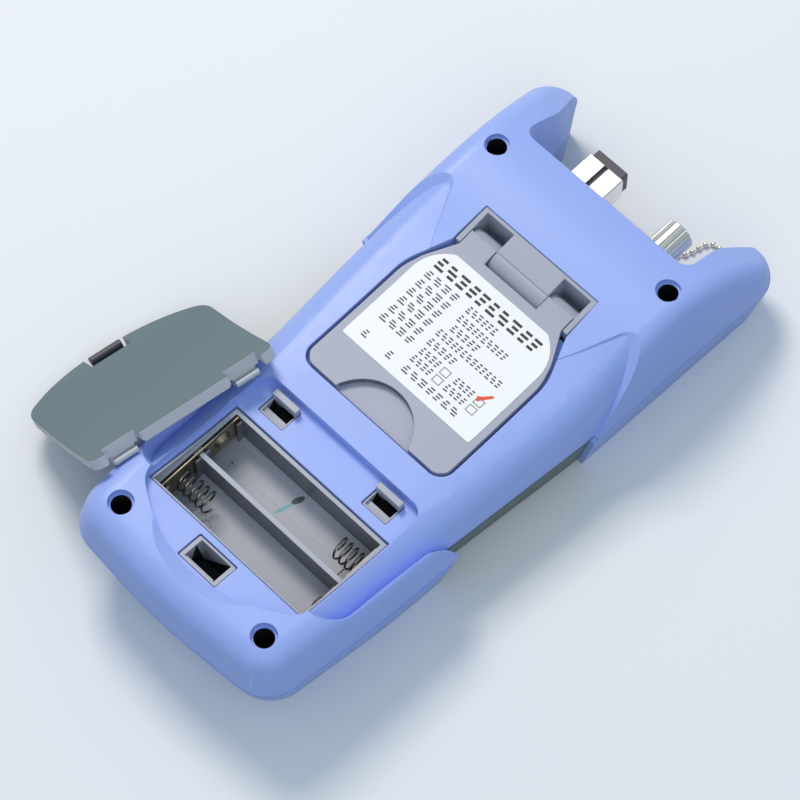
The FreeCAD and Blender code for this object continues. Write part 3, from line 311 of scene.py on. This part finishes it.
# place, turn in degrees, reach, colour and edge of each part of the stain: a thin streak, and the blot that
# ends it
INK = (((-2.3, 34.9), -14, (0.75, 3.6), "5FA8B6", (0.02, 0.4)),
       ((-1.2, 39.6), -20, (1.0, 2.2), "053A3C", (0.02, 0.14)))
INK_DEPTH, INK_SHARE = 9.0, 0.9   # reach up and down, and the share of the plastic's colour that it hides
holder_abs = moulded("ABS, mid grey, bay", "B0B3BE", 0.38, 0.5)
tree = holder_abs.node_tree
surface = tree.nodes["Principled BSDF"]
stained = surface.inputs["Base Color"].links[0].from_node.outputs["Result"]
place = add(tree, "ShaderNodeTexCoord")
for (x, y), turn, reach, colour, edge in INK:
    blot = add(tree, "ShaderNodeMapping", {"vector_type": "TEXTURE",
                                           "Location": (x * MM, y * MM, FLOOR_Z * MM),
                                           "Rotation": (0.0, 0.0, math.radians(turn)),
                                           "Scale": (reach[0] * MM, reach[1] * MM, INK_DEPTH * MM)},
               {"Vector": place.outputs["Object"]})
    near = add(tree, "ShaderNodeTexGradient", {"gradient_type": "SPHERICAL"},
               {"Vector": blot.outputs["Vector"]})
    wet = add(tree, "ShaderNodeMapRange", {"From Min": edge[0], "From Max": edge[1], "To Max": INK_SHARE},
              {"Value": near.outputs["Fac"]})
    ink = add(tree, "ShaderNodeMix", {"data_type": "RGBA"}, {"Factor": wet.outputs["Result"], "A": stained})
    ink.inputs["B"].default_value = linear(colour)
    stained = ink.outputs["Result"]
tree.links.new(stained, surface.inputs["Base Color"])
# Painted shade: the deep parts of the hook and latch slots are painted near black.
slot_painted_shade_abs = moulded("ABS, mid grey, painted shade in the slots", "121316", 0.6)
# Painted shade: the bay's walls get a darker grey than its floor, and a little more gloss.
wall_painted_shade_abs = moulded("ABS, mid grey, glossier walls in painted shade", "6C6E76", 0.3, 0.5)
holder = smooth_copy("battery_holder", holder_abs, slot_painted_shade_abs, wall_painted_shade_abs)
# Steep faces in the bay take the walls' painted shade; faces deep in the slots take the slots' painted shade.
for polygon in holder.data.polygons:
    x, y, z = (c / MM for c in polygon.center)
    if abs(polygon.normal.z) < WALL and abs(x) < BAY_HALF and BAY_FROM < y < BAY_TO and z < BAY_TOP:
        polygon.material_index = 2
    in_latch = abs(x) < LATCH_HALF and LATCH_FROM < y < LATCH_TO and z < LATCH_TOP
    in_hook = abs(abs(x) - HOOK_X) < HOOK_HALF and HOOK_FROM < y < HOOK_TO and z < HOOK_TOP
    if in_latch or in_hook:
        polygon.material_index = 1


def add_piece(mesh, body):
    """A finished mesh as an object that rides on a body of the meter."""
    piece = bpy.data.objects.new(mesh.name, mesh)
    scene.collection.objects.link(piece)
    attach(piece, body)
    return piece


def moulded_in(name, form, material):
    """A small raised feature of the holder."""
    mesh = bpy.data.meshes.new(name)
    bmesh.ops.recalc_face_normals(form, faces=form.faces)
    form.to_mesh(mesh)
    form.free()
    mesh.materials.append(material)
    add_piece(mesh, "case")


def add_bar(form, x0, x1, y0, y1, z0, z1, turn=0.0, ease=0.0):
    """A bar between two corners in millimetres, turned about its middle, with its edges eased."""
    middle = Matrix.Translation(((x0 + x1) / 2 * MM, (y0 + y1) / 2 * MM, (z0 + z1) / 2 * MM))
    made = bmesh.ops.create_cube(form, size=1.0, matrix=middle @ Matrix.Rotation(math.radians(turn), 4, "Z")
                                 @ Matrix.Diagonal(((x1 - x0) * MM, (y1 - y0) * MM, (z1 - z0) * MM, 1.0)))
    if ease:
        edges = {edge for vert in made["verts"] for edge in vert.link_edges}
        bmesh.ops.bevel(form, geom=list(edges), offset=ease * MM, affect="EDGES", segments=2, profile=0.5,
                        material=-1)


# The field that carries the marks, the cross at the positive end and the pair of rings at the negative end
field = bmesh.new()
add_bar(field, -14.2, 21.9, 28.6, 34.3, FLOOR_Z - 0.2, FLOOR_Z + 0.32)
moulded_in("holder_floor_field", field, holder_abs)
signs = bmesh.new()
for turn in (0, 90):
    add_bar(signs, -23.1, -20.3, 34.7, 35.1, FLOOR_Z - 0.1, FLOOR_Z + 0.3, turn=turn)
RING_RADIUS, RING_SECTION, RING_STEPS = 1.45, 0.16, 28
for x, y in ((-16.2, 17.6), (-13.9, 16.9)):
    upright = Matrix.Translation(((x + RING_RADIUS) * MM, y * MM, FLOOR_Z * MM)) @ Matrix.Rotation(
        math.radians(90), 4, "X")
    section = bmesh.ops.create_circle(signs, segments=6, radius=RING_SECTION * MM, matrix=upright)
    loop = list({edge for vert in section["verts"] for edge in vert.link_edges})
    bmesh.ops.spin(signs, geom=loop, cent=(x * MM, y * MM, FLOOR_Z * MM), axis=(0, 0, 1), angle=2 * math.pi,
                   steps=RING_STEPS, use_merge=True)
moulded_in("holder_floor_signs", signs, holder_abs)

# Ledges that the door's hooks catch under, and the ribs that keep the bridging plate against its wall
LEDGE_HALF = 4.3
ledges = bmesh.new()
for side in (-1, 1):
    add_bar(ledges, side * HOOK_X - LEDGE_HALF, side * HOOK_X + LEDGE_HALF, 47.7, 50.2, 24.0, 26.2, ease=0.15)
moulded_in("hook_slot_ledges", ledges, holder_abs)
ribs = bmesh.new()
for low, high in ((13.0, 15.2), (25.2, 30.4), (40.6, 42.8)):
    add_bar(ribs, -25.8, -25.0, low, high, FLOOR_Z - 0.2, 25.9, ease=0.1)
# The ribs take the walls' darker grey, which is painted shade.
moulded_in("contact_ribs", ribs, wall_painted_shade_abs)

# Battery contacts and springs
# The bridging plate with its button and two end plates are stamped from spring brass, the two coils are wound
# from spring wire, and all are nickel-plated: a warm, dull sheen on the strip, a dark gloss on the wire.
WAVES = 350.0                     # to the metre, so each is about 3 mm wide
WAVE_DEPTH = 0.2


def plated(name, colour, roughness):
    """Plated metal with faint waviness from the sheet or bar under the plate."""
    material = bpy.data.materials.new(name)
    material.use_nodes = True
    tree = material.node_tree
    surface = tree.nodes["Principled BSDF"]
    place = add(tree, "ShaderNodeTexCoord")
    haze = add(tree, "ShaderNodeTexNoise", {"Scale": WAVES, "Detail": 5.0},
               {"Vector": place.outputs["Object"]})
    tone = add(tree, "ShaderNodeMix", {"data_type": "RGBA"}, {"Factor": haze.outputs["Fac"]})
    tone.inputs["A"].default_value = toned(colour, 0.86)
    tone.inputs["B"].default_value = linear(colour)
    tree.links.new(tone.outputs["Result"], surface.inputs["Base Color"])
    bump = add(tree, "ShaderNodeBump", {"Strength": 0.08, "Distance": WAVE_DEPTH * MM},
               {"Height": haze.outputs["Fac"]})
    tree.links.new(bump.outputs["Normal"], surface.inputs["Normal"])
    surface.inputs["Metallic"].default_value = 1.0
    surface.inputs["Roughness"].default_value = roughness
    return material


strip = plated("nickel plate on spring brass", "A89E88", 0.45)
for name in ("bridge_contact", "positive_contact", "negative_contact"):
    smooth_copy(name, strip)
wire = plated("nickel plate on spring wire", "8B857B", 0.2)
for name in ("bridge_spring", "negative_spring"):
    smooth_copy(name, wire, angle=50.0)

# Kickstand and its bracket
# Light grey ABS mouldings with a soft, matt face; the stand turns on a steel pin between the bracket's lugs. A
# finger hollow at its free end has a steep wall, which lies in its own shade.
SCOOP_REACH, SCOOP_Y = 14.3, 63.0  # radius that holds the hollow's wall, and the middle of its circle
SCOOP_FROM = 66.8                 # the free end's own edge lies before this
SCOOP_WALL = 0.6                  # the normal of the hollow's wall rises by less than this
STAND_MARGIN = 0.5                # the stand's sides and free end come in by this much
SIDE_BAND = (24.0, 25.5)          # the sides start to come in over these distances from the middle
NECK_BAND = (118.0, 114.0)        # and over this stretch before the neck
END_BAND = (69.0, 67.0)           # the free end comes in over this one
stand_abs = moulded("ABS, light grey", "ACAFBE", 0.45)
scoop_abs = moulded("ABS, light grey, in the finger hollow's wall", "6A6C76", 0.45)
smooth_copy("stand_bracket", stand_abs)
stand = smooth_copy("kickstand", stand_abs, scoop_abs)
for polygon in stand.data.polygons:
    x, y = polygon.center.x / MM, polygon.center.y / MM
    if abs(polygon.normal.z) < SCOOP_WALL and math.hypot(x, y - SCOOP_Y) < SCOOP_REACH and y > SCOOP_FROM:
        polygon.material_index = 1
for vert in stand.data.vertices:
    x, y = vert.co.x / MM, vert.co.y / MM
    vert.co.x -= math.copysign(STAND_MARGIN * MM * ramp(abs(x), *SIDE_BAND) * ramp(y, *NECK_BAND), vert.co.x)
    vert.co.y += STAND_MARGIN * MM * ramp(y, *END_BAND)

# Stand label
# White polyester film stuck on the stand, printed in grey with short bars, four boxes and one orange tick
# drawn by hand. The film is faintly uneven and matt, the ink a little broken by its grain.
film = mottled("polyester film, white", linear("FAFAFB"), linear("FFFFFF"), 60.0, 3.0)
label = smooth_copy("stand_label", film)
label_top = [v.co for v in label.data.vertices]
INK_LIFT, PEN_LIFT = 0.02, 0.04   # how far print and pen stand off the film


def label_height(y):
    """Height of the film's face at a place along the stand, from the film's own edge points."""
    low = max((p for p in label_top if p.y <= y), key=lambda p: (round(p.y, 6), p.z))
    high = min((p for p in label_top if p.y >= y), key=lambda p: (round(p.y, 6), -p.z))
    share = 0.0 if high.y == low.y else (y - low.y) / (high.y - low.y)
    return low.z + share * (high.z - low.z)


def print_marks(name, boxes, colour):
    """Flat printed rectangles (x0, x1, y0, y1 in millimetres) lying on the film."""
    ink = mottled(name + " ink", linear(colour), toned(colour, 1.35, 0.02), 2500.0, 1.0, 0.6)
    form = bmesh.new()
    for x0, x1, y0, y1 in boxes:
        made = bmesh.ops.create_grid(form, x_segments=1, y_segments=2, size=0.5)
        for vert in made["verts"]:
            y = (y0 + (vert.co.y + 0.5) * (y1 - y0)) * MM
            x = (x0 + (vert.co.x + 0.5) * (x1 - x0)) * MM
            vert.co = (x, y, label_height(y) + INK_LIFT * MM)
    mesh = bpy.data.meshes.new(name)
    form.to_mesh(mesh)
    form.free()
    mesh.materials.append(ink)
    add_piece(mesh, "stand")


STROKES = ((0.0, 1.0), (0.15, 0.8), (0.3, 1.0), (0.0, 0.65), (0.1, 0.95))   # where a bar starts and ends


def mark_bars(x0, x1, y0, y1, number, weight):
    """One printed mark: three thin bars of unequal lengths, each a share of the mark's height thick."""
    bars = []
    for row in range(3):
        start, end = STROKES[(number * 2 + row * 3) % len(STROKES)]
        low = y0 + (y1 - y0) * row * 0.5 * (1 - weight)
        bars.append((x0 + (x1 - x0) * start, x0 + (x1 - x0) * end, low, low + (y1 - y0) * weight))
    return bars


TITLE_MARKS, TITLE_PITCH, TITLE_WIDTH = 10, 3.9, 3.2
TITLE_LOW, TITLE_HIGH, TITLE_WEIGHT = 110.3, 114.1, 0.22
LEFT = -19.8                      # where the title and the rows start
title_bars = []
for k in range(TITLE_MARKS):
    x = LEFT + TITLE_PITCH * k
    title_bars += mark_bars(x, x + TITLE_WIDTH, TITLE_LOW, TITLE_HIGH, k, TITLE_WEIGHT)
WIDE, NARROW = 3.1, 1.9           # pitches of the marks
ROW_HALF, ROW_WEIGHT = 1.1, 0.2
FIRST = (LEFT, -7.2, WIDE)        # the block of marks that most rows start with
# middle of each row, and the start, end and pitch of its blocks
ROWS = ((107.7, (FIRST, (-4.0, 7.3, NARROW))), (104.2, (FIRST, (-4.0, 14.4, NARROW))),
        (100.8, (FIRST, (-3.2, 7.2, NARROW))), (97.3, (FIRST, (-5.2, 18.8, NARROW))),
        (93.7, (FIRST, (-5.0, 5.4, NARROW))),
        (90.2, (FIRST, (-4.6, 2.8, NARROW), (8.4, 15.4, NARROW))),
        (87.0, ((-4.8, 2.8, NARROW), (7.8, 15.4, NARROW))),
        (83.2, ((LEFT, -17.2, WIDE), (-10.6, -8.0, WIDE), (-4.4, 16.6, WIDE))))
MARK_SHARE = 0.76                 # of its pitch that a mark fills
row_bars = []
for y, blocks in ROWS:
    for x0, x1, width in blocks:
        count = max(1, round((x1 - x0) / width))
        pitch = (x1 - x0) / count
        for k in range(count):
            row_bars += mark_bars(x0 + pitch * k, x0 + pitch * (k + MARK_SHARE), y - ROW_HALF, y + ROW_HALF,
                                  k, ROW_WEIGHT)
print_marks("label_title", title_bars, "2C2D31")
print_marks("label_rows", row_bars, "45474D")
BOX_WIDE, BOX_HIGH, BOX_LINE = 2.8, 2.3, 0.22
box_lines = []
for x0 in (3.6, 16.3):
    for y0 in (88.7, 85.7):
        x1, y1 = x0 + BOX_WIDE, y0 + BOX_HIGH
        box_lines += [(x0, x1, y0, y0 + BOX_LINE), (x0, x1, y1 - BOX_LINE, y1),
                      (x0, x0 + BOX_LINE, y0, y1), (x1 - BOX_LINE, x1, y0, y1)]
print_marks("label_boxes", box_lines, "4A4C52")
TICK = ((16.0, 90.9), (16.9, 89.5), (18.0, 91.0), (19.9, 93.6), (19.0, 93.8), (17.2, 91.7))
tick = bmesh.new()
tick.faces.new([tick.verts.new((x * MM, y * MM, label_height(y * MM) + PEN_LIFT * MM)) for x, y in TICK])
tick_mesh = bpy.data.meshes.new("label_tick")
tick.to_mesh(tick_mesh)
tick.free()
tick_mesh.materials.append(mottled("felt pen, orange red", linear("F04418"), linear("F65C2A"), 900.0, 2.0))
add_piece(tick_mesh, "stand")

# Battery door
# A grey ABS cover taken off and leaning on the case, with two hooks and a spring latch moulded on; its rim
# is light grey, its outer face is painted a darker grey-green as painted shade, and the latch is painted
# darker still as painted shade.
DOOR_TILT, DOOR_TURN = math.radians(46.3), math.radians(-99.3)
HOOK_EDGE = Vector((-34.6, 30.49, 40.16)) * MM   # middle of the hook edge, where the two measures below start
ALONG = Vector((-0.682, 0.112, -0.723))          # from the hooks to the latch
ASIDE = Vector((0.162, 0.987, 0.0))              # along the hook edge
LEVEL_OUT = Vector((-0.987, 0.162, 0.0))         # away from the case, level
CLIP_HALF, CLIP_FROM = 5.6, 50.2                 # room that holds the latch alone
CLIP_REACH = 1.6                                 # how much further out the latch stands
FACING = 0.93                                    # how nearly a face in the outer face's painted shade looks straight out
# Painted shade: the door's outer face is given a darker grey-green than its rim, and the latch a darker grey
# still.
door_face_painted_shade = moulded("ABS, grey-green, door face in painted shade", "64767C", 0.5, 0.3)
door_edge = moulded("ABS, light grey, door rim", "BEC0CA", 0.45)
latch_painted_shade_abs = moulded("ABS, grey, latch in painted shade", "46454D", 0.45)


def on_latch(place):
    """Whether a place of the door lies on its latch."""
    reach = place - HOOK_EDGE
    return abs(reach.dot(ASIDE)) < CLIP_HALF * MM and reach.dot(ALONG) > CLIP_FROM * MM


door = smooth_copy("battery_door", door_edge, door_face_painted_shade, latch_painted_shade_abs)
for vert in door.data.vertices:
    if on_latch(vert.co):
        vert.co += LEVEL_OUT * CLIP_REACH * MM
outward = Vector((math.sin(DOOR_TILT) * math.sin(DOOR_TURN), -math.sin(DOOR_TILT) * math.cos(DOOR_TURN),
                  math.cos(DOOR_TILT)))
# Outward faces take the outer face's painted shade, and the latch its own darker painted shade.
for polygon in door.data.polygons:
    if polygon.normal.dot(outward) > FACING:
        polygon.material_index = 1
    if on_latch(polygon.center):
        polygon.material_index = 2

# Front shell
# Dark grey-green ABS, injection-moulded and matt; its plain front carries the window and six keys, and its
# posts take the case screws.
smooth_copy("front_shell", moulded("ABS, dark grey-green", "5C6B69", 0.5))

# Keys and keypad mat
# Grey silicone rubber, compression-moulded and quite matt; the mat lies on the board and the keys stand
# through the front shell.
rubber = moulded("silicone rubber, grey", "767A86", 0.7, 0.6, 0.05)
for number in range(1, 7):
    smooth_copy("key_" + str(number), rubber)
smooth_copy("keypad_mat", rubber)

# Display
# A clear cast-acrylic window, glued in and faintly wiped, over a grey-green liquid-crystal cell in its frame.
acrylic = bpy.data.materials.new("acrylic, clear")
acrylic.use_nodes = True
tree = acrylic.node_tree
acrylic_surface = tree.nodes["Principled BSDF"]
acrylic_surface.inputs["Base Color"].default_value = linear("F2F5F4")
acrylic_surface.inputs["Transmission Weight"].default_value = 0.95
acrylic_surface.inputs["IOR"].default_value = 1.49
place = add(tree, "ShaderNodeTexCoord")
wipe = add(tree, "ShaderNodeTexNoise", {"Scale": 120.0, "Detail": 4.0}, {"Vector": place.outputs["Object"]})
gloss = add(tree, "ShaderNodeMapRange", {"To Min": 0.04, "To Max": 0.12}, {"Value": wipe.outputs["Fac"]})
tree.links.new(gloss.outputs["Result"], acrylic_surface.inputs["Roughness"])
smooth_copy("lcd_window", acrylic)
smooth_copy("lcd_module", moulded("liquid crystal cell, grey-green", "8B9785", 0.3, 0.9, 0.02))

# Circuit board and what stands on it
# Glass-fibre board under a glossy green solder mask; a black moulded detector housing and a turned brass
# light-source barrel are soldered to it.
smooth_copy("main_board", moulded("solder mask, green", "1F5B38", 0.35, 1.2, 0.06, 0.15))
smooth_copy("detector_module", moulded("ABS, black", "1D1E21", 0.42))
smooth_copy("laser_module", plated("brass, turned", "C9A866", 0.3))

# Square port
# A die-cast sleeve with a slotted top, nickel-plated to a pale silky gloss, closed by a dark push-in cap.
smooth_copy("sc_adapter", plated("bright nickel plate", "FBF9F6", 0.36))
smooth_copy("sc_dust_cap", moulded("polyethylene, dark mauve grey", "56525A", 0.5))

# Screw port, its fluted cap and the ring under it
# Turned brass, nickel-plated to a pale sheen. The cap has broad flutes pressed along it, a groove for its ring
# at the root and an eased outer end; inside it is bored for the port's thread.
nickel = plated("nickel plate", "FBF2E2", 0.4)
for name in ("fc_port", "cap_ring", "chain_anchor"):
    smooth_copy(name, nickel)
CAP_X, CAP_Z = 16.5, 17.4         # its axis
AROUND = 96                       # points round the cap
FLUTES = 16
FLUTE_DEPTH = 0.32
FLUTED = (161.02, 171.7)          # stretch of the profile that has flutes
# distance along Y and radius, from the bottom of the bore round the open end to the middle of the outer end
CAP_PROFILE = ((169.2, 0.3), (169.2, 3.95), (158.2, 3.95), (158.2, 5.2), (158.3, 5.3), (159.05, 5.3),
               (159.1, 4.7), (160.1, 4.7), (160.15, 5.1), (160.9, 5.1), (161.0, 4.75), (161.05, 4.75),
               (171.6, 4.75), (172.0, 4.5), (172.2, 4.1), (172.2, 0.3))
CAP_SHARP = 24                    # degrees between two faces from which the edge reads as an edge


def round_cap(vert):
    """The angle of a point of the cap about the cap's axis."""
    return math.atan2(vert.co.z - CAP_Z * MM, vert.co.x - CAP_X * MM)


cap = bmesh.new()
start_y, start_radius = CAP_PROFILE[0]
upright = Matrix.Translation((CAP_X * MM, start_y * MM, CAP_Z * MM)) @ Matrix.Rotation(
    math.radians(90), 4, "X")
around = bmesh.ops.create_circle(cap, segments=AROUND, radius=start_radius * MM, matrix=upright)["verts"]
rim = list({edge for vert in around for edge in vert.link_edges})
ends = [list(around)]
for y, radius in CAP_PROFILE[1:]:
    grown = bmesh.ops.extrude_edge_only(cap, edges=rim)["geom"]
    rim = [item for item in grown if isinstance(item, bmesh.types.BMEdge)
           and all(vert in grown for vert in item.verts)]
    around = [item for item in grown if isinstance(item, bmesh.types.BMVert)]
    for vert in around:
        angle = round_cap(vert)
        step = round(angle / (2 * math.pi) * AROUND) % (AROUND // FLUTES)
        fluted = FLUTED[0] < y < FLUTED[1] and step == 0
        reach = (radius - (FLUTE_DEPTH if fluted else 0.0)) * MM
        vert.co = (CAP_X * MM + reach * math.cos(angle), y * MM, CAP_Z * MM + reach * math.sin(angle))
ends.append(around)
for ring in ends:
    cap.faces.new(sorted(ring, key=round_cap))
bmesh.ops.recalc_face_normals(cap, faces=cap.faces)
cap_mesh = bpy.data.meshes.new("cap_fluted")
cap.to_mesh(cap_mesh)
cap.free()
cap_mesh.materials.append(plated("nickel plate, satin", "F2EDE2", 0.34))
cap_mesh.shade_smooth()
cap_mesh.set_sharp_from_angle(angle=math.radians(CAP_SHARP))
cap_piece = add_piece(cap_mesh, frame["nodes"]["fc_cap"]["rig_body"])
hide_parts("fc_cap")

# Ball chain
# Hollow nickel-plated beads, rolled from thin strip, on short wire links, each bead with its own bright spot.
# It runs from an eye under the cap's ring over the table to an eye in the end wall.
BEAD, LINK = 0.8, 0.28            # radii
PITCH = 2.2
ROUTE = ((16.5, 159.6, 10.0), (16.5, 159.6, 5.6), (14.6, 166.0, 1.9), (14.3, 172.8, 0.85),
         (17.1, 175.4, 0.85), (17.8, 178.6, 0.85), (18.8, 182.6, 0.85), (21.8, 184.0, 0.85),
         (24.6, 182.4, 0.85), (25.8, 175.6, 0.85), (24.3, 168.6, 2.1), (22.6, 163.9, 8.0), (22.6, 159.1, 8.0))
LINK_SIDES = 8
line_data = bpy.data.curves.new("chain_line", "CURVE")
line_data.dimensions = "3D"
line_data.resolution_u = 24
spline = line_data.splines.new("NURBS")
spline.points.add(len(ROUTE) - 1)
for point, place in zip(spline.points, ROUTE):
    point.co = tuple(c * MM for c in place) + (1.0,)
spline.order_u = 3
spline.use_endpoint_u = True
line = bpy.data.objects.new("chain_line", line_data)
scene.collection.objects.link(line)
bpy.context.view_layer.update()
line_mesh = bpy.data.meshes.new_from_object(line)
path = [v.co.copy() for v in line_mesh.vertices]
bpy.data.objects.remove(line)
runs = [(b - a).length for a, b in zip(path, path[1:])]
chain_length = sum(runs)
beaded = chain_length - 2 * BEAD * MM
beads = int(beaded / (PITCH * MM))


def on_line(distance):
    """The point of the chain's line at a distance from its start."""
    for a, b, run in zip(path, path[1:], runs):
        if distance <= run:
            return a.lerp(b, distance / run)
        distance -= run
    return path[-1]


chain = bmesh.new()
places = [on_line(BEAD * MM + beaded * k / beads) for k in range(beads + 1)]
for place in places:
    bmesh.ops.create_icosphere(chain, subdivisions=2, radius=BEAD * MM, matrix=Matrix.Translation(place))
for a, b in zip(places, places[1:]):
    turned = (b - a).to_track_quat("Z", "Y").to_matrix().to_4x4()
    bmesh.ops.create_cone(chain, cap_ends=True, segments=LINK_SIDES, radius1=LINK * MM, radius2=LINK * MM,
                          depth=(b - a).length, matrix=Matrix.Translation((a + b) / 2) @ turned)
chain_mesh = bpy.data.meshes.new("chain_beads")
chain.to_mesh(chain_mesh)
chain.free()
chain_mesh.shade_smooth()
chain_mesh.materials.append(nickel)
chain_piece = add_piece(chain_mesh, "case")
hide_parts("cap_chain")
